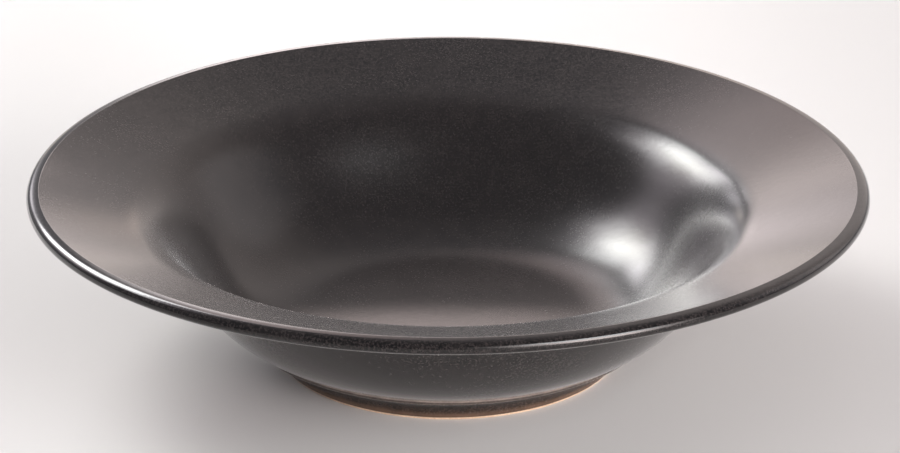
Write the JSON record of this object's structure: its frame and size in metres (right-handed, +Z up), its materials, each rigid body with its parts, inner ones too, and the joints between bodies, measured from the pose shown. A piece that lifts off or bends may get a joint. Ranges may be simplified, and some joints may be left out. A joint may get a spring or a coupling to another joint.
{
  "type": "rimmed soup bowl",
  "caption": "Wide-rimmed stoneware soup bowl: deep round basin, sloping flat rim with a rounded lip, dark satin glaze all over and a bare clay foot ring to stand on.",
  "frame": {"origin": "on the table, at the middle of the foot ring", "axes": "+Z up along the axis the bowl is turned on; the bowl is round, so X and Y are any two directions across it"},
  "size_m": [0.2404, 0.2404, 0.0554],
  "materials": {
    "bare_clay": "matte",
    "dark_glaze": "satin",
    "underside_glaze": "satin"
  },
  "bodies": {
    "root": {"clay_body": "bare_clay", "glaze_coat": "dark_glaze", "underside_glaze": "underside_glaze"}
  },
  "joints": []
}
